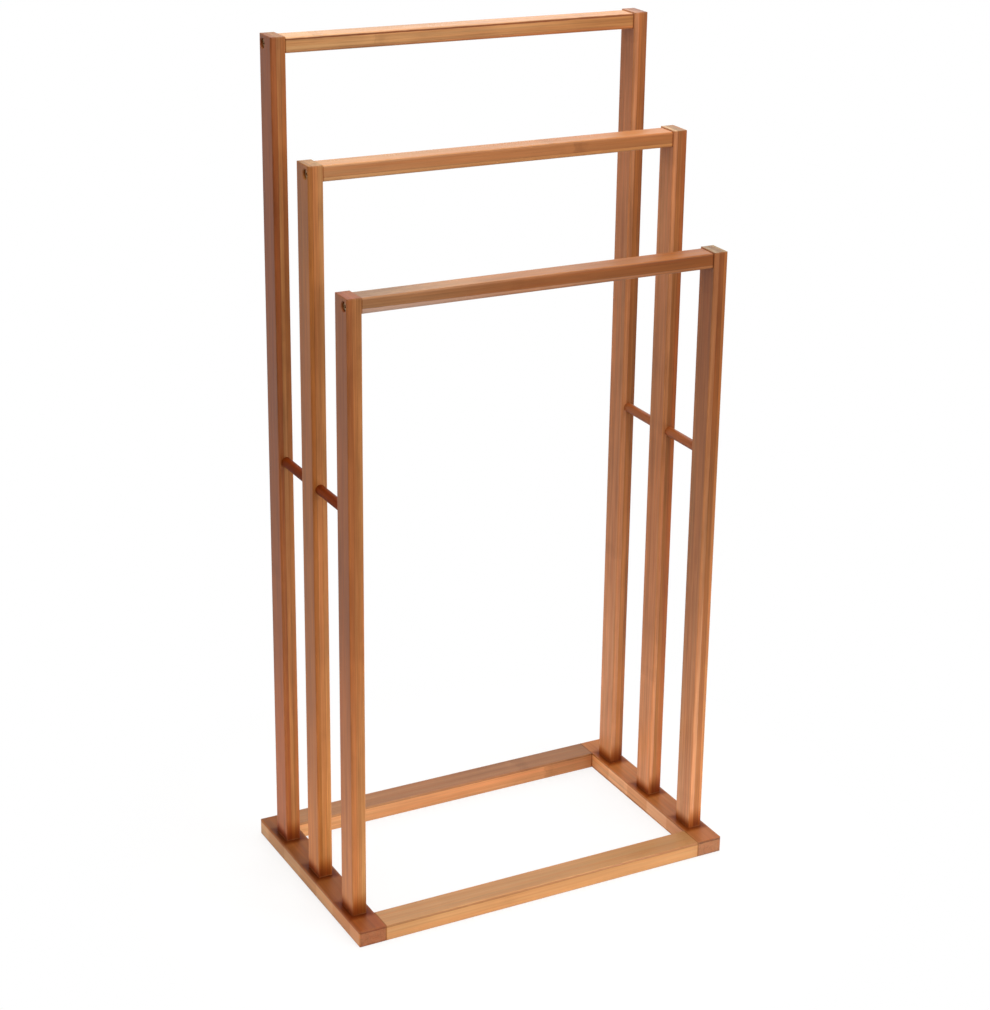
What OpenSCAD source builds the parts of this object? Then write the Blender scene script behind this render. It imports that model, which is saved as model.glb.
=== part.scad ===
// Free-standing three-tier towel rack of stained bamboo.
// A flat frame of four boards stands on the floor. Three posts of falling height stand on each
// side board, a towel bar joins the tops of each pair, and a round rod ties the posts of each side.
// Origin: the middle of the base frame, on the floor. The low tier faces -Y.

/* [Overall] */
// Width of the rack across the side boards of the base
rack_w = 400; // [320:5:600]
// Depth of the rack along the side boards of the base
rack_d = 245; // [215:5:400]
// Height of the tallest posts' tops above the floor
rack_h = 820; // [760:5:1000]

/* [Base boards] */
// Width of each flat base board
board_w = 27; // [24:1:45]
// Thickness of each flat base board
board_t = 16.5; // [12:0.5:22]
// Rounding of the base's four outer corners, seen from above
corner_round = 2.5; // [1.5:0.5:8]
// Rounding along the base's top and bottom edges
board_round = 1.5; // [0.5:0.25:3]

/* [Posts] */
// Width of a post, along the towel bars
post_w = 14.5; // [13:0.5:20]
// Depth of a post, along the side boards
post_d = 26; // [24:0.5:32]
// Distance from the end of a side board to the face of its outermost post
post_inset = 29.5; // [22:0.5:42]
// Height step from one row of posts to the next
tier_step = 98.5; // [60:0.5:130]
// Rounding along a post's upright edges
post_round = 1.5; // [0.5:0.25:3]
// Rounding around a post's top
post_top_round = 1; // [0.5:0.25:2.5]

/* [Towel bars] */
// Height of a towel bar's section
bar_h = 14.5; // [13:0.5:24]
// Depth of a towel bar's section
bar_d = 22.5; // [22:0.5:25.5]
// How far a towel bar's top lies below the tops of its posts
bar_drop = 1; // [0:0.25:4]
// Rounding along a towel bar's edges
bar_round = 2; // [0.5:0.25:4]
// Rounding around a towel bar's ends
bar_end_round = 0.75; // [0.25:0.25:2]

/* [Side rods] */
// Diameter of a side rod
rod_d = 9.5; // [8:0.5:11.5]
// Height of the side rods' centre line above the floor
rod_z = 420; // [150:1:500]
// Length of rod that sits inside the front and rear posts
rod_seat = 12; // [6:0.5:18]
// Rounding around a side rod's ends
rod_end_round = 0.75; // [0.25:0.25:2]

/* [Wooden pins and dowels] */
// Diameter of a pin or dowel
pin_d = 6; // [5:0.5:7]
// Length of the pin that sits in the end of a towel bar or post
pin_in_end = 14; // [8:1:30]
// Length of the pin that sits in the post beside a towel bar
pin_in_post = 8; // [5:0.5:9.5]
// Length of the pin that sits in the side board under a post
pin_in_board = 8; // [5:0.5:10]
// Length of the corner dowel that sits in the side board
dowel_in_board = 13; // [8:0.5:20]
// Length of the corner dowel that sits in the end of a cross rail
dowel_in_rail = 16; // [8:1:40]
// Distance between the two dowels of a corner
dowel_gap = 13; // [10:0.5:14]
// Chamfer on the ends of a pin or dowel
pin_chamfer = 0.75; // [0.25:0.25:1.5]

/* [Screws] */
// Distance of a post's screws and pins from the middle of its depth
fixing_offset = 6; // [5.5:0.25:6.5]
// Diameter of a screw's shank
screw_d = 4; // [3:0.5:5]
// Length of a bar screw below its head
bar_screw_len = 45; // [30:1:80]
// Diameter of a bar screw's head
bar_head_d = 8; // [7:0.25:8.5]
// Height of a bar screw's head
bar_head_h = 2.6; // [2:0.1:3.5]
// Diameter of the open bore that a bar screw's head sits in
head_bore_d = 9; // [8.75:0.25:10.5]
// Depth of the open bore that a bar screw's head sits in
head_bore_depth = 4.5; // [4:0.25:7]
// Chamfer around the mouth of that bore
head_bore_chamfer = 0.75; // [0.25:0.25:0.75]
// Length of a post screw, with its head
post_screw_len = 42; // [30:1:70]
// Diameter of a post screw's countersunk head
post_head_d = 8; // [7:0.25:9]
// How far a post screw's head lies above the underside of the base
post_head_sink = 1; // [0.5:0.25:3]
// Size across the corners of the six-sided key socket in each screw head
key_d = 3.4; // [2.5:0.1:3.6]
// Depth of the key socket
key_depth = 1.6; // [0.5:0.1:1.9]
// Length of a screw's pointed tip
screw_tip = 5; // [2:0.5:10]

/* [Fits] */
// How much wider a bore is than the wooden pin, dowel or rod in it
wood_fit = 0.1; // [0.05:0.05:0.4]
// How much wider a bore is than the screw shank in it
screw_fit = 0.1; // [0.05:0.05:0.4]
// Free space left beyond the end of a pin, dowel, rod or screw in a blind bore
end_gap = 1; // [0.25:0.25:1.5]

/* [Hidden] */
$fn = 64;

// Sides of the rack
LEFT = -1;
RIGHT = 1;
SIDES = [LEFT, RIGHT];

// Rows of posts
REAR = 0;
MIDDLE = 1;
FRONT = 2;
ROWS = [REAR, MIDDLE, FRONT];

// Places of the rows: the middle of each row's depth, and the height of its posts' tops
row_step = rack_d / 2 - post_inset - post_d / 2;
row_y = [row_step, 0, -row_step];
row_top = [for (row = ROWS) rack_h - row * tier_step];

// The rear posts are the same as the others, turned round, so their screws lie to the rear
screw_turn = [1, -1, -1];

// Distance of a post's middle from the middle of the rack: the posts stand centred on the boards
post_x = rack_w / 2 - board_w / 2;
bar_len = 2 * post_x - post_w;
rail_len = rack_w - 2 * board_w;
rod_reach = row_step - post_d / 2 + rod_seat;
screw_tip_d = screw_d / 4;
post_head_h = (post_head_d - screw_d) / 2;

// Bores
pin_bore_d = pin_d + wood_fit;
rod_bore_d = rod_d + wood_fit;
screw_bore_d = screw_d + screw_fit;
// A cutter starts this far outside the face that it opens
cut = 1;

bamboo_bar = [0.80, 0.56, 0.42];
bamboo_post = [0.72, 0.48, 0.33];
bamboo_base = [0.84, 0.62, 0.45];
bamboo_rod = [0.62, 0.40, 0.26];
pale_beech = [0.88, 0.76, 0.58];
zinc = [0.78, 0.79, 0.80];

function bar_z(row) = row_top[row] - bar_drop - bar_h / 2;
function screw_y(row) = row_y[row] + screw_turn[row] * fixing_offset;
function pin_y(row) = row_y[row] - screw_turn[row] * fixing_offset;

// ---- Shapes ----

// A rectangle about the origin with round corners
module round_rect(w, d, r) {
    square([w - 2 * r, d], center = true);
    square([w, d - 2 * r], center = true);
    for (x = [-1, 1], y = [-1, 1])
        translate([x * (w / 2 - r), y * (d / 2 - r)]) circle(r);
}

// A block on z = 0, centred in x and y. side_r rounds its upright edges, top_r the edges of its
// top. The edges of its foot are rounded as its top is, or left square.
module eased_block(w, d, h, side_r, top_r, square_foot = false) {
    skirt = square_foot ? 2 * top_r : 0;
    intersection() {
        linear_extrude(h) round_rect(w, d, side_r);
        translate([0, d, (h - skirt) / 2]) rotate([90, 0, 0])
            linear_extrude(2 * d) round_rect(w, h + skirt, top_r);
        translate([-w, 0, (h - skirt) / 2]) rotate([90, 0, 90])
            linear_extrude(2 * w) round_rect(d, h + skirt, top_r);
    }
}

// A round wooden peg along +Z with its ends chamfered
module peg(d, len, chamfer) {
    cylinder(h = chamfer, d1 = d - 2 * chamfer, d2 = d);
    translate([0, 0, chamfer]) cylinder(h = len - 2 * chamfer, d = d);
    translate([0, 0, len - chamfer]) cylinder(h = chamfer, d1 = d, d2 = d - 2 * chamfer);
}

// A screw's shank along +Z from z = 0, with its pointed tip
module shank(len) {
    cylinder(h = len - screw_tip, d = screw_d);
    translate([0, 0, len - screw_tip]) cylinder(h = screw_tip, d1 = screw_d, d2 = screw_tip_d);
}

// The six-sided socket that a key turns, cut from z = 0 into a head
module key_socket() {
    translate([0, 0, -cut]) cylinder(h = cut + key_depth, d = key_d, $fn = 6);
}

// Cheese-head screw: its head lies below z = 0 and its shank along +Z
module bar_screw() {
    difference() {
        union() {
            translate([0, 0, -bar_head_h]) cylinder(h = bar_head_h, d = bar_head_d);
            shank(bar_screw_len);
        }
        translate([0, 0, -bar_head_h]) key_socket();
    }
}

// Countersunk screw: the flat of its head is at z = 0 and its shank along +Z
module post_screw() {
    difference() {
        union() {
            cylinder(h = post_head_h, d1 = post_head_d, d2 = screw_d);
            translate([0, 0, post_head_h]) shank(post_screw_len - post_head_h);
        }
        key_socket();
    }
}

// Puts its children at a point, with their +Z along the rack's X axis, pointing to the middle
module facing_inward(side, x, y, z) {
    translate([side * x, y, z]) rotate([0, -side * 90, 0]) children();
}

// Puts its children at each of the four corners of the base, for each of that corner's two
// dowels, on the face where rail and side board meet, with +Z into the rail
module each_corner_dowel() {
    for (side = SIDES, end = [-1, 1], pair = [-1, 1])
        facing_inward(side, rail_len / 2, end * (rack_d / 2 - board_w / 2) + pair * dowel_gap / 2,
                      board_t / 2) children();
}

// ---- Base ----

// The whole base as one eased slab: each board is its own part of it, so that the outer edges
// run on from board to board
module base_slab() {
    eased_block(rack_w, rack_d, board_t, corner_round, board_round);
}

module corner_dowel_bores() {
    each_corner_dowel()
        translate([0, 0, -dowel_in_board - end_gap])
            cylinder(h = dowel_in_board + dowel_in_rail + 2 * end_gap, d = pin_bore_d);
}

module base_side(side) {
    difference() {
        intersection() {
            base_slab();
            translate([side * post_x - board_w / 2, -rack_d / 2, 0]) cube([board_w, rack_d, board_t]);
        }
        corner_dowel_bores();
        for (row = ROWS) {
            translate([side * post_x, screw_y(row), -cut])
                cylinder(h = board_t + 2 * cut, d = screw_bore_d);
            translate([side * post_x, screw_y(row), post_head_sink])
                cylinder(h = post_head_h, d1 = post_head_d + screw_fit, d2 = screw_bore_d);
            translate([side * post_x, screw_y(row), -cut])
                cylinder(h = cut + post_head_sink, d = post_head_d + screw_fit);
            translate([side * post_x, pin_y(row), board_t - pin_in_board - end_gap])
                cylinder(h = pin_in_board + end_gap + cut, d = pin_bore_d);
        }
    }
}

module base_rail(end) {
    difference() {
        intersection() {
            base_slab();
            translate([-rail_len / 2, end * (rack_d - board_w) / 2 - board_w / 2, 0])
                cube([rail_len, board_w, board_t]);
        }
        corner_dowel_bores();
    }
}

// ---- Posts ----

// The bores in the foot of a post, for the screw and the pin that hold it to its side board
module foot_bores(side, row) {
    screw_reach = post_head_sink + post_screw_len + end_gap;
    translate([side * post_x, screw_y(row), board_t - cut])
        cylinder(h = screw_reach - board_t + cut, d = screw_bore_d);
    translate([side * post_x, pin_y(row), board_t - cut])
        cylinder(h = cut + pin_in_end + end_gap, d = pin_bore_d);
}

// The bores at the top of a post, for the screw and the pin that hold the towel bar
module bar_bores(side, row) {
    outer = post_x + post_w / 2;
    mouth = cut + head_bore_chamfer;
    facing_inward(side, outer + cut, screw_y(row), bar_z(row)) {
        cylinder(h = post_w + 2 * cut, d = screw_bore_d);
        cylinder(h = head_bore_depth + cut, d = head_bore_d);
        cylinder(h = mouth, d1 = head_bore_d + 2 * mouth, d2 = head_bore_d);
    }
    facing_inward(side, outer - post_w + pin_in_post + end_gap, pin_y(row), bar_z(row))
        cylinder(h = pin_in_post + end_gap + cut, d = pin_bore_d);
}

// The bore for the side rod: right through a middle post, blind in the others
module rod_bore(side) {
    translate([side * post_x, rod_reach + end_gap, rod_z]) rotate([90, 0, 0])
        cylinder(h = 2 * (rod_reach + end_gap), d = rod_bore_d);
}

module post(side, row) {
    difference() {
        translate([side * post_x, row_y[row], board_t])
            eased_block(post_w, post_d, row_top[row] - board_t, post_round, post_top_round,
                        square_foot = true);
        foot_bores(side, row);
        bar_bores(side, row);
        rod_bore(side);
    }
}

// ---- Towel bars and side rods ----

// A towel bar between its posts, with a screw bore and a pin bore in each end
module towel_bar(row) {
    screw_in_bar = bar_screw_len + head_bore_depth - post_w;
    difference() {
        translate([-bar_len / 2, row_y[row], bar_z(row)]) rotate([0, 90, 0])
            eased_block(bar_h, bar_d, bar_len, bar_round, bar_end_round);
        for (side = SIDES) {
            facing_inward(side, bar_len / 2 + cut, screw_y(row), bar_z(row))
                cylinder(h = cut + screw_in_bar + end_gap, d = screw_bore_d);
            facing_inward(side, bar_len / 2 + cut, pin_y(row), bar_z(row))
                cylinder(h = cut + pin_in_end + end_gap, d = pin_bore_d);
        }
    }
}

module side_rod(side) {
    translate([side * post_x, rod_reach, rod_z]) rotate([90, 0, 0])
        peg(rod_d, 2 * rod_reach, rod_end_round);
}

// ---- Nodes ----

module base_side_left() { color(bamboo_base) base_side(LEFT); }
module base_side_right() { color(bamboo_base) base_side(RIGHT); }
module base_rail_front() { color(bamboo_base) base_rail(-1); }
module base_rail_rear() { color(bamboo_base) base_rail(1); }

module post_left_rear() { color(bamboo_post) post(LEFT, REAR); }
module post_left_middle() { color(bamboo_post) post(LEFT, MIDDLE); }
module post_left_front() { color(bamboo_post) post(LEFT, FRONT); }
module post_right_rear() { color(bamboo_post) post(RIGHT, REAR); }
module post_right_middle() { color(bamboo_post) post(RIGHT, MIDDLE); }
module post_right_front() { color(bamboo_post) post(RIGHT, FRONT); }

module towel_bar_rear() { color(bamboo_bar) towel_bar(REAR); }
module towel_bar_middle() { color(bamboo_bar) towel_bar(MIDDLE); }
module towel_bar_front() { color(bamboo_bar) towel_bar(FRONT); }

module side_rod_left() { color(bamboo_rod) side_rod(LEFT); }
module side_rod_right() { color(bamboo_rod) side_rod(RIGHT); }

// One screw through each post into the end of its towel bar
module bar_screws() {
    color(zinc) for (side = SIDES, row = ROWS)
        facing_inward(side, post_x + post_w / 2 - head_bore_depth, screw_y(row), bar_z(row))
            bar_screw();
}

// One pin beside each bar screw, which stops the bar from turning
module bar_pins() {
    color(pale_beech) for (side = SIDES, row = ROWS)
        facing_inward(side, bar_len / 2 + pin_in_post, pin_y(row), bar_z(row))
            peg(pin_d, pin_in_post + pin_in_end, pin_chamfer);
}

// One screw up through the side board into the foot of each post
module post_screws() {
    color(zinc) for (side = SIDES, row = ROWS)
        translate([side * post_x, screw_y(row), post_head_sink]) post_screw();
}

// One pin beside each post screw, which stops the post from turning
module post_pins() {
    color(pale_beech) for (side = SIDES, row = ROWS)
        translate([side * post_x, pin_y(row), board_t - pin_in_board])
            peg(pin_d, pin_in_board + pin_in_end, pin_chamfer);
}

// Two dowels across each joint of the base
module corner_dowels() {
    color(pale_beech) each_corner_dowel()
        translate([0, 0, -dowel_in_board])
            peg(pin_d, dowel_in_board + dowel_in_rail, pin_chamfer);
}

base_side_left();
base_side_right();
base_rail_front();
base_rail_rear();
post_left_rear();
post_left_middle();
post_left_front();
post_right_rear();
post_right_middle();
post_right_front();
towel_bar_rear();
towel_bar_middle();
towel_bar_front();
side_rod_left();
side_rod_right();
bar_screws();
bar_pins();
post_screws();
post_pins();
corner_dowels();
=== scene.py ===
"""Looks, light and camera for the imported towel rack, around its fixed frame."""

import math

import bpy
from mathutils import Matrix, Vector


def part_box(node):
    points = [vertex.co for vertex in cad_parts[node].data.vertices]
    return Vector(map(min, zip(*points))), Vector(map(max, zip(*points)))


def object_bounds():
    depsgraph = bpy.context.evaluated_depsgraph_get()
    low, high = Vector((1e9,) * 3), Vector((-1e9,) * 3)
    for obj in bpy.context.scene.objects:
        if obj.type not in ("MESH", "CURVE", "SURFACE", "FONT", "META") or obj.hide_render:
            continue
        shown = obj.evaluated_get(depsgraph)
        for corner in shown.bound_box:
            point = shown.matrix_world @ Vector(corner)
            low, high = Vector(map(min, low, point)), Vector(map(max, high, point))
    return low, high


X, Y, Z = 0, 1, 2
POSTS = [f"post_{side}_{row}" for side in ("left", "right") for row in ("rear", "middle", "front")]

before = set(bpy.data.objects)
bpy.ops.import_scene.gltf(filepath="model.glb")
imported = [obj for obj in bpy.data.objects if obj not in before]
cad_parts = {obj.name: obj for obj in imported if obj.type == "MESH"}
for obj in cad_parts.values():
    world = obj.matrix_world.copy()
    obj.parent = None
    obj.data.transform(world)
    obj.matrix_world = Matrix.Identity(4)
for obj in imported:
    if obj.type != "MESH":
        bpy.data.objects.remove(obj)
cad_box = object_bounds()


def linear(red, green, blue):
    """An sRGB colour, 0 to 255, as the linear colour that a shader takes."""
    out = []
    for value in (red, green, blue):
        share = value / 255
        out.append(share / 12.92 if share <= 0.04045 else ((share + 0.055) / 1.055) ** 2.4)
    return tuple(out)


class Graph:
    """Short calls for building one node tree."""

    def __init__(self, tree):
        self.tree = tree
        tree.nodes.clear()

    def add(self, kind, **properties):
        node = self.tree.nodes.new(kind)
        for name, value in properties.items():
            setattr(node, name, value)
        return node

    def put(self, socket, value):
        if isinstance(value, bpy.types.NodeSocket):
            self.tree.links.new(value, socket)
        else:
            socket.default_value = value

    def fill(self, node, **values):
        """Sets or links inputs by name; an underscore stands for a space."""
        for name, value in values.items():
            self.put(node.inputs[name.replace("_", " ")], value)
        return node

    def math(self, operation, *values):
        node = self.add("ShaderNodeMath", operation=operation)
        for socket, value in zip(node.inputs, values):
            self.put(socket, value)
        return node.outputs[0]

    def plus(self, first, second):
        return self.math("ADD", first, second)

    def minus(self, first, second):
        return self.math("SUBTRACT", first, second)

    def times(self, first, second):
        return self.math("MULTIPLY", first, second)

    def size(self, value):
        return self.math("ABSOLUTE", value)

    def power(self, value, exponent):
        return self.math("POWER", value, exponent)

    def swing(self, noise, amount, start=1.0):
        """start, plus or minus up to half the amount, as the noise runs from 0 to 1."""
        return self.math("MULTIPLY_ADD", self.minus(noise, 0.5), amount, start)

    def vector(self, operation, *values):
        node = self.add("ShaderNodeVectorMath", operation=operation)
        for socket, value in zip(node.inputs, values):
            self.put(socket, value)
        return node.outputs["Vector"]

    def split(self, vector):
        node = self.add("ShaderNodeSeparateXYZ")
        self.put(node.inputs[0], vector)
        return [node.outputs[axis] for axis in (X, Y, Z)]

    def combine(self, x, y, z):
        node = self.add("ShaderNodeCombineXYZ")
        self.fill(node, X=x, Y=y, Z=z)
        return node.outputs["Vector"]

    def step(self, value, low, high, to_low=0.0, to_high=1.0):
        """A smooth step: to_low below low, to_high above high."""
        node = self.add("ShaderNodeMapRange", interpolation_type="SMOOTHSTEP")
        self.fill(node, Value=value, From_Min=low, From_Max=high, To_Min=to_low, To_Max=to_high)
        return node.outputs["Result"]

    def noise(self, vector, scale=1.0, detail=2.0):
        node = self.add("ShaderNodeTexNoise")
        self.fill(node, Vector=vector, Scale=scale, Detail=detail)
        return node.outputs["Fac"]

    def blend(self, share, first, second):
        node = self.add("ShaderNodeMix", data_type="RGBA")
        self.put(node.inputs["Factor"], share)
        for socket, colour in ((node.inputs[6], first), (node.inputs[7], second)):
            self.put(socket, colour if isinstance(colour, bpy.types.NodeSocket) else (*colour, 1.0))
        return node.outputs[2]

    def finish(self, socket, kind="Material"):
        self.put(self.add("ShaderNodeOutput" + kind).inputs["Surface"], socket)


def new_material(name):
    """A new material and the graph of its empty node tree."""
    material = bpy.data.materials.new(name)
    material.use_nodes = True
    return material, Graph(material.node_tree)


def dress(node, material):
    """Puts one material on a CAD node."""
    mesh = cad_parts[node].data
    mesh.materials.clear()
    mesh.materials.append(material)


# ---- Bamboo ----

# What all the stained and varnished bamboo shares, in metres where it is a length.
# The share of a piece's coat and specular level that its varnish shows:
GLOSS = 0.3
COAT_ROUGHNESS = 0.26
BUMP_DEPTH = 0.00006
# How far the joints between strips wander, as shares of the strips' whole width, in long and in
# short waves, how soft the joints are, and how dark the glue in them is:
LONG_WANDER, SHORT_WANDER = 0.07, 0.05
JOINT_SOFTNESS = 0.022
GLUE_SHADE = 0.6
# Streaks in the light of the wood: their noise per metre along the grain and across it, the
# shift of that noise, and how much they change the light
STREAKS = ((4, 170, 1.7, 0.60), (14, 330, 6.3, 0.55), (26, 80, 3.3, 0.30))
STRIP_CONTRAST, MIDDLE_CONTRAST, FINE_CONTRAST, VESSEL_SHADE = 0.60, 0.60, 0.30, 0.12
# The culm's nodes, measured along the grain: the line, and the smudges beside it
NODE_SPACING = 0.27
NODE_WAVER = 0.012
NODE_LINE = (0.0002, 0.0014)
NODE_DARK_AT, NODE_DARK_REACH = 0.006, 0.010
NODE_PALE_AT, NODE_PALE_REACH = -0.006, 0.008
# How the stain's hue shifts red, green and blue, and how light, gathered varnish and painted shade
# change them
HUE_SHIFTS = (0.20, -0.20, -0.46)
GREEN_POWER, BLUE_POWER = 1.12, 1.3
POOL_AND_SHADE_POWERS = (1.4, 2.4, 4.0)
DARKEST = 0.1
VESSEL_DOTS = 1100.0
EDGE_REACH = (0.0002, 0.0016)
EDGE_WEAR = linear(206, 142, 92)
WEAR_SHARE = 0.14
# A darker rim around the ends of each piece
RIM_DARK = linear(96, 56, 30)
RIM_REACH, RIM_DEPTH = (0.0002, 0.0014), (0.0006, 0.0018)
RIM_SHARE = 0.35


class Bamboo:
    """The material of one laminated bamboo piece, in the rack's own coordinates. The fibres run
    along the grain axis, and the strips lie side by side along the across axis."""

    def __init__(self, node, grain, across, seed):
        self.material, self.g = new_material("bamboo_" + node)
        self.low, self.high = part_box(node)
        self.grain, self.across, self.seed = grain, across, seed
        self.place = self.g.add("ShaderNodeTexCoord").outputs["Object"]
        self.at = self.g.split(self.place)
        self.along, self.over = self.at[grain], self.at[across]
        self.beside = self.at[3 - grain - across]

    def streak(self, per_metre_along, per_metre_across, shift, detail=2):
        """Noise stretched along the fibres."""
        g, seed = self.g, self.seed
        place = g.combine(
            g.math("MULTIPLY_ADD", self.along, per_metre_along, seed + shift),
            g.math("MULTIPLY_ADD", self.over, per_metre_across, 2.3 * seed + shift),
            g.math("MULTIPLY_ADD", self.beside, per_metre_across, 3.7 * seed - shift),
        )
        return g.noise(place, detail=detail)

    def strips(self, widths_and_colours, tilt):
        """The strips' colours, with joints that wander a little and climb by the tilt along the
        grain, and a number that tells them apart."""
        g, low, high = self.g, self.low[self.across], self.high[self.across]
        share = g.math("DIVIDE", g.minus(self.over, low), high - low)
        share = g.math("MULTIPLY_ADD", self.along, -tilt, share)
        share = g.plus(share, g.swing(self.streak(5, 0, 0.0, detail=1), LONG_WANDER, 0.0))
        share = g.plus(share, g.swing(self.streak(90, 900, 8.0), SHORT_WANDER, 0.0))
        ramp = g.add("ShaderNodeValToRGB")
        g.put(ramp.inputs[0], share)
        total = sum(width for width, _ in widths_and_colours)
        last = len(widths_and_colours) - 1
        stops, edge = [], 0.0
        for i, (width, colour) in enumerate(widths_and_colours):
            start, edge = edge, edge + width / total
            shade = (*colour, (0.37 * i + 0.13 * self.seed) % 1.0)
            if i:
                glue = [GLUE_SHADE * (one + other) / 2 for one, other in zip(stops[-1][1], shade)]
                stops.append((start, (*glue[:3], shade[3])))
            stops.append((start + JOINT_SOFTNESS if i else 0.0, shade))
            stops.append((edge - JOINT_SOFTNESS if i < last else 1.0, shade))
        elements = ramp.color_ramp.elements
        elements[0].position, elements[0].color = stops[0]
        elements[1].position, elements[1].color = stops[-1]
        for position, shade in stops[1:-1]:
            elements.new(position).color = shade
        self.strip = ramp.outputs["Alpha"]
        return ramp.outputs["Color"]

    def tone_and_painted_light(self, colour, tones_and_painted_light):
        """The colour scaled by three tones: at the low end of the grain, in the middle and at the high
        end. Each is one number, or one each for red, green and blue. Besides the wood's own tone along
        the piece they hold painted light: lighter, more orange feet on most posts where the floor
        bounces light, and a painted whitish sheen towards the bars' left ends."""
        g = self.g
        low, middle, high = (tone if isinstance(tone, tuple) else (tone,) * 3 for tone in tones_and_painted_light)
        centre = (self.low[self.grain] + self.high[self.grain]) / 2
        from_low = g.step(self.along, self.low[self.grain], centre)
        from_centre = g.step(self.along, centre, self.high[self.grain])
        return g.vector("MULTIPLY", colour, g.blend(from_centre, g.blend(from_low, low, middle), high))

    def fibres(self, light, contrast):
        """Light and dark streaks along the fibres, from broad ones to single vessels."""
        g = self.g
        self.middle = self.streak(9, 700, 5.1, detail=3)
        self.fine = self.streak(30, 3400, 9.4)
        self.vessel = g.step(self.streak(55, 2600, 12.9, detail=1), 0.64, 0.74)
        strip_place = g.combine(g.times(self.along, 7.0), g.times(self.strip, 40.0), self.seed)
        light = g.swing(g.noise(strip_place, detail=1), STRIP_CONTRAST * contrast, light)
        for per_metre_along, per_metre_across, shift, amount in STREAKS:
            streak = self.streak(per_metre_along, per_metre_across, shift)
            light = g.swing(streak, amount * contrast, light)
        light = g.swing(self.middle, MIDDLE_CONTRAST * contrast, light)
        light = g.swing(self.fine, FINE_CONTRAST * contrast, light)
        return g.math("MULTIPLY_ADD", self.vessel, -VESSEL_SHADE * contrast, light)

    def culm_nodes(self, light, smudge):
        """The culm's nodes: a faint wavy line across a strip, with a dark smudge on one side of it
        and a pale one on the other."""
        g = self.g
        waver = g.swing(g.noise(self.place, scale=180), NODE_WAVER, self.along)
        turn = g.math("MULTIPLY_ADD", self.strip, 3.0, g.math("DIVIDE", waver, NODE_SPACING))
        off = g.times(g.swing(g.math("FRACT", turn), 1.0, 0.0), NODE_SPACING)
        which = g.combine(g.math("FLOOR", turn), g.times(self.strip, 9.0), self.seed)
        strength = g.step(g.noise(which, scale=3.7), 0.42, 0.62, 0.2, 1.0)
        self.node_line = g.times(g.step(g.size(off), *NODE_LINE, 1.0, 0.0), strength)
        dark = g.step(g.size(g.minus(off, NODE_DARK_AT)), 0.0, NODE_DARK_REACH, 1.0, 0.0)
        pale = g.step(g.size(g.minus(off, NODE_PALE_AT)), 0.0, NODE_PALE_REACH, 1.0, 0.0)
        light = g.math("MULTIPLY_ADD", self.node_line, -0.5 * smudge, light)
        light = g.math("MULTIPLY_ADD", g.times(dark, strength), -smudge, light)
        return g.math("MULTIPLY_ADD", g.times(pale, strength), 0.4 * smudge, light)

    def stain(self, colour, light, pool_and_shade_factor):
        """Stain that took redder or yellower. Where there is less light in the wood, where varnish
        gathered, and where contact shade is painted at the posts' feet, it darkens the blue most."""
        g = self.g
        hue = g.minus(self.streak(5, 260, 21.0), 0.5)
        tint = g.combine(*(g.math("MULTIPLY_ADD", hue, shift, 1.0) for shift in HUE_SHIFTS))
        light = g.math("MAXIMUM", light, DARKEST)
        shade = g.combine(light, g.power(light, GREEN_POWER), g.power(light, BLUE_POWER))
        # The joints' factor also carries the painted contact shade at the posts' feet and around them
        pool_and_shade_tint = g.combine(*(g.power(pool_and_shade_factor, exponent) for exponent in POOL_AND_SHADE_POWERS))
        for factor in (tint, shade, pool_and_shade_tint):
            colour = g.vector("MULTIPLY", colour, factor)
        return colour

    def end_grain(self, colour, tone):
        """Darker on the ends, with the cut vessels as dots."""
        g = self.g
        normal = g.split(g.add("ShaderNodeNewGeometry").outputs["Normal"])
        end = g.step(g.size(normal[self.grain]), 0.55, 0.9)
        dots = g.add("ShaderNodeTexVoronoi")
        g.fill(dots, Vector=g.vector("ADD", self.place, (self.seed, 0.0, 0.0)), Scale=VESSEL_DOTS)
        dot = g.step(dots.outputs["Distance"], 0.12, 0.34, 0.62, 1.0)
        shade = g.combine(*(g.times(dot, share) for share in tone))
        cut = g.vector("MULTIPLY", colour, shade)
        return g.blend(end, colour, cut)

    def edges(self, colour):
        """A little wear along the edges, and a dark rim at the ends. The distance to the nearest
        edge of the piece is the middle one of the distances to its faces."""
        g = self.g
        gaps = []
        for axis in (X, Y, Z):
            centre = (self.low[axis] + self.high[axis]) / 2
            half = (self.high[axis] - self.low[axis]) / 2
            gaps.append(g.minus(half, g.size(g.minus(self.at[axis], centre))))
        least, most = g.math("MINIMUM", gaps[0], gaps[1]), g.math("MAXIMUM", gaps[0], gaps[1])
        to_edge = g.math("MAXIMUM", least, g.math("MINIMUM", most, gaps[2]))
        rubbed = g.step(to_edge, *EDGE_REACH, 1.0, 0.0)
        self.rubbed = g.times(rubbed, g.step(g.noise(self.place, scale=45), 0.4, 0.62, 0.15, 1.0))
        colour = g.blend(g.times(self.rubbed, WEAR_SHARE), colour, EDGE_WEAR)
        at_edge = g.step(to_edge, *RIM_REACH, 1.0, 0.0)
        at_end = g.step(gaps[self.grain], *RIM_DEPTH, 1.0, 0.0)
        return g.blend(g.times(g.times(at_edge, at_end), RIM_SHARE), colour, RIM_DARK)

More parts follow.
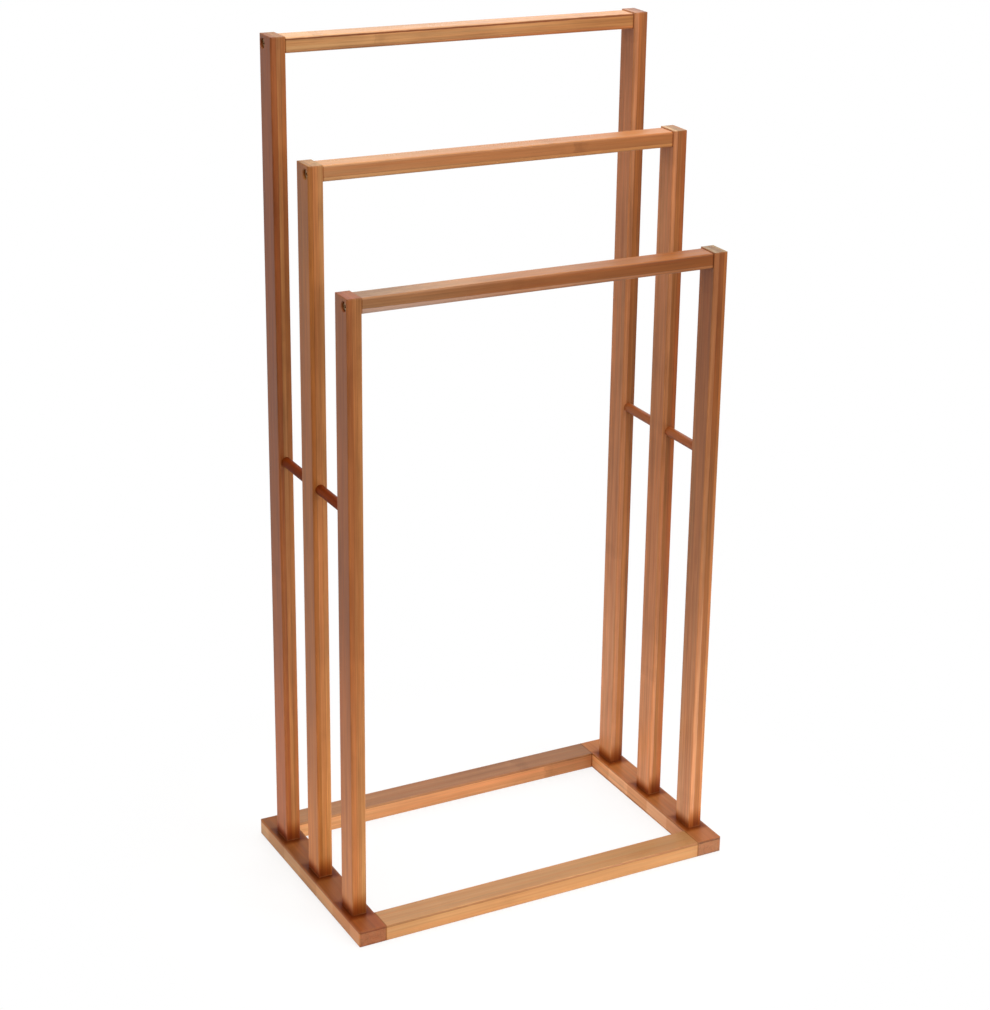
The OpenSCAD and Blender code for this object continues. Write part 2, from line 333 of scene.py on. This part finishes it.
    def shade(self, colour, coat, specular, pool_and_shade_factor):
        """The varnished surface, with the relief of fibres, vessels and nodes under it. It shines less
        where the joints' factor is below 1, which also takes the reflections out of the painted contact
        shade at the posts' feet."""
        g = self.g
        relief = g.math("MULTIPLY_ADD", self.fine, 0.5, g.times(self.middle, 0.6))
        relief = g.math("MULTIPLY_ADD", self.vessel, -0.5, relief)
        relief = g.math("MULTIPLY_ADD", self.node_line, -0.8, relief)
        bump = g.add("ShaderNodeBump")
        g.fill(bump, Height=relief, Strength=0.45, Distance=BUMP_DEPTH)
        roughness = g.math("MULTIPLY_ADD", self.rubbed, 0.06, g.swing(self.middle, 0.22, 0.46))
        shader = g.add("ShaderNodeBsdfPrincipled")
        g.fill(shader, Base_Color=colour, Roughness=roughness, Normal=bump.outputs["Normal"])
        g.fill(shader, Specular_IOR_Level=g.times(pool_and_shade_factor, GLOSS * specular))
        g.fill(shader, Coat_Weight=g.times(pool_and_shade_factor, GLOSS * coat), Coat_Roughness=COAT_ROUGHNESS)
        g.finish(shader.outputs["BSDF"])
        return self.material


# Bamboo strips by the stain that they took, and two bands of painted light for the rear towel bar
PLAIN = linear(164, 99, 50)
REDDER = linear(160, 88, 42)
PALER = linear(178, 115, 64)
DUSKY = linear(144, 84, 42)
SORREL = linear(165, 97, 50)
OLIVE = linear(160, 94, 41)
GOLDEN = linear(196, 138, 86)
AMBER = linear(180, 120, 72)
HONEY = linear(170, 122, 76)
SAND = linear(216, 162, 118)
RUST = linear(116, 47, 11)
TAWNY = linear(154, 92, 47)
GINGER = linear(171, 106, 57)
BLUSH = linear(188, 124, 83)
ROSY = linear(190, 130, 92)
PEACH = linear(182, 122, 80)
BISCUIT = linear(194, 129, 80)
# A paler top strip for the rear towel bar, which also paints the highlight along its top edge
PALE_STRIP_AND_HIGHLIGHT = linear(200, 148, 104)
TOFFEE = linear(190, 132, 82)
# Painted shade: a dark band on the rear towel bar's rounded top-front edge
PAINTED_EDGE_SHADE = linear(126, 62, 16)
SEAM = linear(148, 96, 54)
DUNE = linear(178, 126, 77)
HAZEL = linear(188, 127, 80)
LOAM = linear(145, 96, 60)
OAT = linear(192, 146, 104)

# Varnish that gathered in the joints, and painted shade: its shade at the joint, and how far it reaches
# At the posts' feet and around them on the boards this is painted contact shade as well as gathered
# varnish; at the ends it is a dark joint line
POOL_AND_SHADE_BESIDE_FOOT = (0.42, 0.014)
POOL_AND_SHADE_BEFORE_FOOT = (0.50, 0.025)
POOL_AT_ENDS = (0.60, 0.0016)
POOL_AND_SHADE_AROUND_POSTS = (0.56, 0.009)


def pool_and_painted_shade(g, distance, shade, reach):
    """The darkening of gathered varnish and painted shade by the distance from the joint, 1 where there
    is neither.
    """
    return g.step(distance, 0.0, reach, shade, 1.0)


def at_the_foot(wood):
    """Painted contact shade and gathered varnish where a post meets its side board: they reach further
    up on the front and the back.
    """
    g = wood.g
    height = g.minus(wood.along, wood.low[Z])
    normal = g.split(g.add("ShaderNodeNewGeometry").outputs["Normal"])
    to_front = g.step(g.size(normal[Y]), 0.5, 0.9)
    beside = pool_and_painted_shade(g, height, *POOL_AND_SHADE_BESIDE_FOOT)
    before = pool_and_painted_shade(g, height, *POOL_AND_SHADE_BEFORE_FOOT)
    return g.math("MULTIPLY_ADD", to_front, g.minus(before, beside), beside)


def at_the_ends(wood):
    """The joints at both ends of a bar, rail or rod."""
    g = wood.g
    centre = (wood.low[wood.grain] + wood.high[wood.grain]) / 2
    half = (wood.high[wood.grain] - wood.low[wood.grain]) / 2
    return pool_and_painted_shade(g, g.minus(half, g.size(g.minus(wood.along, centre))), *POOL_AT_ENDS)


def around_posts(wood):
    """Painted contact shade and gathered varnish at a side board's joints with the posts that stand on
    it.
    """
    g = wood.g
    nearest = None
    for name in POSTS:
        low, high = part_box(name)
        if low[X] < wood.low[X] or high[X] > wood.high[X]:
            continue
        gaps = []
        for axis in (X, Y):
            away = g.size(g.minus(wood.at[axis], (low[axis] + high[axis]) / 2))
            gaps.append(g.minus(away, (high[axis] - low[axis]) / 2))
        gap = g.math("MAXIMUM", *gaps)
        nearest = gap if nearest is None else g.math("MINIMUM", nearest, gap)
    return pool_and_painted_shade(g, nearest, *POOL_AND_SHADE_AROUND_POSTS)


END_TONE = (0.74, 0.69, 0.65)


def bamboo(
    node,
    grain,
    across,
    strips,
    seed,
    joints,
    tones_and_painted_light=(1.0, 1.0, 1.0),
    ends=END_TONE,
    contrast=1.0,
    coat=0.45,
    specular=0.5,
    smudge=0.08,
    tilt=0.0,
):
    """Dresses one CAD node in bamboo. strips has each strip's relative width and colour, joints is the
    function that finds the node's joints, with their gathered varnish and painted contact shade, the
    three tones, which also paint light along the piece, are as Bamboo takes them, and ends scales the
    end grain's red, green and blue."""
    wood = Bamboo(node, grain, across, seed)
    colour = wood.tone_and_painted_light(wood.strips(strips, tilt), tones_and_painted_light)
    light = wood.culm_nodes(wood.fibres(1.0, contrast), smudge)
    # The joints' factor: gathered varnish, and painted contact shade at the posts' feet and around them
    # on the boards
    pool_and_shade_factor = joints(wood)
    colour = wood.edges(wood.end_grain(wood.stain(colour, light, pool_and_shade_factor), ends))
    dress(node, wood.shade(colour, coat, specular, pool_and_shade_factor))


# Posts: the strips lie side by side from the left of the rack to the right; the tones also paint light
# along each post
for node, strips, seed, tones_and_painted_light, ends, coat in (
    (
        "post_left_rear",
        [(5, REDDER), (4, PALER), (5, PLAIN)],
        1.0,
        ((0.85, 0.83, 0.75), (0.83, 0.84, 0.78), (0.94, 0.93, 0.92)),
        (0.88, 0.98, 0.90),
        0.34,
    ),
    (
        "post_left_middle",
        [(4, OLIVE), (5, GINGER), (5, PALER)],
        2.0,
        ((0.97, 1.0, 0.88), (1.01, 1.02, 0.98), (1.12, 1.20, 1.32)),
        (0.82, 1.05, 1.08),
        0.38,
    ),
    (
        "post_left_front",
        [(5, SORREL), (4, GINGER), (5, PALER)],
        3.0,
        ((0.96, 1.06, 1.10), (0.91, 0.87, 0.74), (0.89, 0.90, 0.94)),
        (0.77, 0.52, 0.28),
        0.34,
    ),
    (
        "post_right_rear",
        [(5, BLUSH), (5, PLAIN), (4, DUSKY)],
        4.0,
        ((1.03, 1.06, 1.06), (0.92, 0.88, 0.76), (1.04, 1.0, 0.96)),
        (0.70, 0.66, 0.56),
        0.45,
    ),
    (
        "post_right_middle",
        [(4, BLUSH), (5, TAWNY), (5, REDDER)],
        5.0,
        ((1.04, 1.05, 1.0), (0.90, 0.83, 0.66), (1.10, 1.14, 1.14)),
        (0.95, 1.35, 1.40),
        0.42,
    ),
    (
        "post_right_front",
        [(5, PEACH), (5, TAWNY), (4, PALER)],
        6.0,
        ((1.02, 1.06, 1.12), (0.82, 0.77, 0.66), (0.73, 0.62, 0.52)),
        (0.82, 1.42, 1.95),
        0.42,
    ),
):
    bamboo(node, Z, X, strips, seed, at_the_foot, tones_and_painted_light, ends, coat=coat)

# Towel bars and base boards: the strips lie on each other from the underside up; the tones also paint
# light along each piece
bamboo(
    "towel_bar_rear",
    X,
    Z,
    # A dark band of painted shade on the rounded top-front edge, and a paler top strip that also paints
    # the highlight along that edge
    [(3, BISCUIT), (9.2, GOLDEN), (1.3, PAINTED_EDGE_SHADE), (1.0, PALE_STRIP_AND_HIGHLIGHT)],
    7.0,
    at_the_ends,
    tones_and_painted_light=((1.05, 1.12, 1.15), 1.0, (0.94, 0.82, 0.66)),
    smudge=0.14,
    tilt=0.2,
)
bamboo(
    "towel_bar_middle",
    X,
    Z,
    [(4, GOLDEN), (9.5, AMBER), (1, TOFFEE)],
    8.0,
    at_the_ends,
    tones_and_painted_light=((1.06, 1.14, 1.27), (0.87, 0.84, 0.81), (0.94, 0.80, 0.66)),
    contrast=0.6,
    smudge=0.2,
)
bamboo(
    "towel_bar_front",
    X,
    Z,
    [(4, ROSY), (9.8, TAWNY), (0.7, PALER)],
    9.0,
    at_the_ends,
    tones_and_painted_light=((1.03, 1.42, 2.15), (0.84, 0.86, 0.90), (0.71, 0.59, 0.41)),
    contrast=0.75,
    smudge=0.14,
    tilt=-0.3,
)
bamboo(
    "base_rail_front",
    X,
    Z,
    [(14.1, DUNE), (1.6, SEAM), (0.8, HONEY)],
    12.0,
    at_the_ends,
    tones_and_painted_light=((1.04, 1.06, 1.10), 1.0, (0.95, 0.97, 1.0)),
    contrast=0.5,
    smudge=0.18,
)
bamboo(
    "base_rail_rear",
    X,
    Z,
    [(14.5, HAZEL), (2, LOAM)],
    13.0,
    at_the_ends,
    tones_and_painted_light=((1.12, 1.25, 1.30), 1.0, 1.0),
    contrast=0.7,
    smudge=0.34,
)
bamboo(
    "base_side_left",
    Y,
    Z,
    [(1.5, AMBER), (13, OAT), (2, TAWNY)],
    10.0,
    around_posts,
    tones_and_painted_light=((0.70, 0.54, 0.42), (0.67, 0.60, 0.46), (0.70, 0.66, 0.58)),
    ends=(0.654, 0.532, 0.551),
    contrast=0.7,
    coat=0.1,
)
bamboo(
    "base_side_right",
    Y,
    Z,
    [(1.5, AMBER), (13, SAND), (2, PLAIN)],
    11.0,
    around_posts,
    tones_and_painted_light=((0.90, 0.84, 0.90), (1.03, 1.0, 0.98), (1.14, 1.14, 1.08)),
    ends=(0.46, 0.37, 0.285),
    contrast=0.7,
    coat=0.35,
)

# Side rods: each is a single strip
bamboo("side_rod_left", Y, X, [(1, RUST)], 14.0, at_the_ends, coat=0.0, specular=0.1)
bamboo("side_rod_right", Y, X, [(1, REDDER)], 15.0, at_the_ends, (0.9, 0.9, 0.9), coat=0.3)

# ---- Pins, dowels and screws ----

BEECH_PALE = linear(232, 206, 166)
BEECH_DARK = linear(206, 172, 128)
BEECH_FLECK = linear(160, 118, 80)
ZINC_DULL = linear(140, 112, 76)
ZINC_BRIGHT = linear(190, 164, 122)


def stretched(g, axis, along, across):
    """The place, scaled by one number along an axis and by another across it."""
    stretch = [across] * 3
    stretch[axis] = along
    return g.vector("MULTIPLY", g.add("ShaderNodeTexCoord").outputs["Object"], tuple(stretch))


def beech(node, grain):
    """Dresses turned pins or dowels in pale beech."""
    material, g = new_material("beech_" + node)
    streak = g.noise(stretched(g, grain, 60.0, 1600.0), detail=3)
    fleck = g.step(g.noise(stretched(g, grain, 130.0, 3500.0)), 0.6, 0.7, 0.0, 0.5)
    colour = g.blend(fleck, g.blend(streak, BEECH_DARK, BEECH_PALE), BEECH_FLECK)
    bump = g.add("ShaderNodeBump")
    g.fill(bump, Height=streak, Strength=0.4, Distance=BUMP_DEPTH)
    shader = g.add("ShaderNodeBsdfPrincipled")
    g.fill(shader, Base_Color=colour, Roughness=g.swing(streak, 0.2, 0.6), Normal=bump.outputs["Normal"])
    g.finish(shader.outputs["BSDF"])
    dress(node, material)


def zinc(node, axis):
    """Dresses screws in yellow zinc-plated steel, turned about their axis."""
    material, g = new_material("zinc_" + node)
    turned = g.noise(stretched(g, axis, 6000.0, 300.0))
    bloom = g.noise(stretched(g, axis, 700.0, 700.0), detail=3)
    shader = g.add("ShaderNodeBsdfPrincipled")
    g.fill(shader, Base_Color=g.blend(bloom, ZINC_DULL, ZINC_BRIGHT), Metallic=1.0)
    g.fill(shader, Roughness=g.swing(g.plus(turned, bloom), 0.16, 0.26))
    g.finish(shader.outputs["BSDF"])
    dress(node, material)


beech("bar_pins", X)
beech("post_pins", Z)
beech("corner_dowels", X)
zinc("bar_screws", X)
zinc("post_screws", Z)

# ---- Floor, world and lamps ----

WHITE = (1.0, 1.0, 1.0)
FLOOR_HALF = 9.0
FLOOR_GAP = 0.0004
FLOOR_TINTS = ((0.90, 0.90, 0.90), (0.94, 0.94, 0.94))
# The floor bounces light as a pale one within the inner radius, and as a dark one beyond the outer
BOUNCE_CENTRE, BOUNCE_RADII = (0.05, -0.08), (0.32, 0.95)
FAR_BOUNCE = (0.05, 0.04, 0.03)
# The camera sees this share of the rack's shadow, within the inner radius
SHADOW_SHARE = 0.22
SHADOW_CENTRE, SHADOW_RADII = (0.0, 0.0), (0.20, 0.42)
# The world's light: its strength at the horizon and overhead, and what the left adds
SKY_LOW, SKY_HIGH = 0.14, 0.90
LEFT_GLOW, LEFT_COLOUR = 0.5, (1.0, 0.86, 0.68)


def ring(g, place, centre, inner, outer):
    """0 within the inner radius of a centre on the floor, 1 beyond the outer."""
    length = g.add("ShaderNodeVectorMath", operation="LENGTH")
    g.put(length.inputs[0], g.vector("SUBTRACT", place, (*centre, 0.0)))
    return g.step(length.outputs["Value"], inner, outer)


def floor_piece():
    """A plain pale floor just under the base. Reflections see it white, and so does the camera,
    apart from a part of the rack's shadow near the rack. Light bounces from it near the rack only."""
    mesh = bpy.data.meshes.new("floor")
    h, z = FLOOR_HALF, -FLOOR_GAP
    mesh.from_pydata([(-h, -h, z), (h, -h, z), (h, h, z), (-h, h, z)], [], [(0, 1, 2, 3)])
    floor = bpy.data.objects.new("floor", mesh)
    bpy.context.scene.collection.objects.link(floor)
    material, g = new_material("pale_floor")
    place = g.add("ShaderNodeTexCoord").outputs["Object"]
    speck = g.noise(place, scale=40, detail=3)
    paper = g.blend(speck, *FLOOR_TINTS)
    sheet = g.add("ShaderNodeBsdfPrincipled")
    far = ring(g, place, BOUNCE_CENTRE, *BOUNCE_RADII)
    g.fill(sheet, Base_Color=g.blend(far, paper, FAR_BOUNCE), Roughness=0.9, Specular_IOR_Level=0.1)
    path = g.add("ShaderNodeLightPath")
    camera, gloss = path.outputs["Is Camera Ray"], path.outputs["Is Glossy Ray"]
    glow = g.add("ShaderNodeEmission")
    g.fill(glow, Color=(*WHITE, 1.0), Strength=1.0)
    away = ring(g, place, SHADOW_CENTRE, *SHADOW_RADII)
    plain = g.math("MULTIPLY_ADD", away, SHADOW_SHARE, 1.0 - SHADOW_SHARE)
    mix = g.add("ShaderNodeMixShader")
    g.put(mix.inputs[0], g.math("MULTIPLY_ADD", camera, plain, gloss))
    g.put(mix.inputs[1], sheet.outputs["BSDF"])
    g.put(mix.inputs[2], glow.outputs["Emission"])
    g.finish(mix.outputs["Shader"])
    mesh.materials.append(material)


def studio_world():
    """Soft light from above and a warmer, weaker one from the left. Camera, glossy and transmission
    rays see a white background instead."""
    world = bpy.data.worlds.new("studio")
    world.use_nodes = True
    g = Graph(world.node_tree)
    direction = g.split(g.add("ShaderNodeTexCoord").outputs["Generated"])
    height = g.step(direction[Z], 0.0, 0.95, SKY_LOW, SKY_HIGH)
    left = g.step(direction[X], -0.95, -0.10, 1.0, 0.0)
    light = g.add("ShaderNodeBackground")
    strength = g.math("MULTIPLY_ADD", left, LEFT_GLOW, height)
    g.fill(light, Color=g.blend(left, WHITE, LEFT_COLOUR), Strength=strength)
    white = g.add("ShaderNodeBackground")
    g.fill(white, Color=(*WHITE, 1.0), Strength=1.0)
    path = g.add("ShaderNodeLightPath")
    seen = g.math("MAXIMUM", path.outputs["Is Glossy Ray"], path.outputs["Is Camera Ray"])
    seen = g.math("MAXIMUM", seen, path.outputs["Is Transmission Ray"])
    mix = g.add("ShaderNodeMixShader")
    g.put(mix.inputs[0], seen)
    g.put(mix.inputs[1], light.outputs["Background"])
    g.put(mix.inputs[2], white.outputs["Background"])
    g.finish(mix.outputs["Shader"], "World")
    bpy.context.scene.world = world


def lamp(name, place, target, size, power, spread):
    """An area lamp of size (width, height) at a place, facing a target, with its power in watts
    and its beam's spread in degrees."""
    data = bpy.data.lights.new(name, "AREA")
    data.shape = "RECTANGLE"
    data.spread = math.radians(spread)
    data.size, data.size_y = size
    data.energy = power
    light = bpy.data.objects.new(name, data)
    light.location = place
    light.rotation_mode = "QUATERNION"
    light.rotation_quaternion = (Vector(target) - Vector(place)).to_track_quat("-Z", "Y")
    bpy.context.scene.collection.objects.link(light)


floor_piece()
studio_world()
OPEN_BEAM, NARROW_BEAM = 180, 36
UPPER_RACK = (0.0, 0.0, 0.75)
for name, place, target, size, power, spread in (
    ("lamp_front", (0.35, -1.35, 1.25), UPPER_RACK, (1.4, 1.4), 14.2, OPEN_BEAM),
    ("lamp_top", (0.1, 0.0, 2.2), (0.05, 0.0, 0.0), (1.6, 1.6), 14.2, OPEN_BEAM),
    ("lamp_rear", (0.95, 1.6, 1.85), UPPER_RACK, (0.8, 0.8), 6.2, OPEN_BEAM),
    ("lamp_low_left", (-1.2, 0.05, 0.07), (0.0, 0.0, 0.03), (0.6, 0.12), 0.25, NARROW_BEAM),
    ("lamp_low_front", (0.6, -1.15, 0.12), (-0.05, 0.0, 0.06), (0.4, 0.12), 0.47, NARROW_BEAM),
):
    lamp(name, place, target, size, power, spread)

# ---- Camera ----

# The photograph's viewpoint, around the middle of the CAD box
AZIMUTH, ELEVATION, ROLL = (math.radians(angle) for angle in (-30.765, 20.517, 1.880))
DISTANCE, ASIDE, UP = 2.26915, 0.119693, -0.001117
SENSOR, FOCAL_LENGTH = 36.0, 84.43604
SHIFT_X, SHIFT_Y = -0.1237624, -0.0346535


def photo_camera():
    """The camera that looks at the rack as the photograph does."""
    level = math.cos(ELEVATION)
    back = Vector((math.sin(AZIMUTH) * level, -math.cos(AZIMUTH) * level, math.sin(ELEVATION)))
    right = (-back).cross(Vector((0, 0, 1))).normalized()
    up = right.cross(-back)
    data = bpy.data.cameras.new("camera")
    data.sensor_width = SENSOR
    data.lens = FOCAL_LENGTH
    data.shift_x, data.shift_y = SHIFT_X, SHIFT_Y
    camera = bpy.data.objects.new("camera", data)
    bpy.context.scene.collection.objects.link(camera)
    camera.location = (cad_box[0] + cad_box[1]) / 2 + back * DISTANCE + right * ASIDE + up * UP
    rolled_right = right * math.cos(ROLL) + up * math.sin(ROLL)
    rolled_up = up * math.cos(ROLL) - right * math.sin(ROLL)
    turn = camera.matrix_world.to_3x3()
    for row in range(3):
        turn[row] = (rolled_right[row], rolled_up[row], back[row])
    camera.rotation_mode = "QUATERNION"
    camera.rotation_quaternion = turn.to_quaternion()
    bpy.context.scene.camera = camera


photo_camera()

bpy.context.scene.view_settings.view_transform = "Standard"
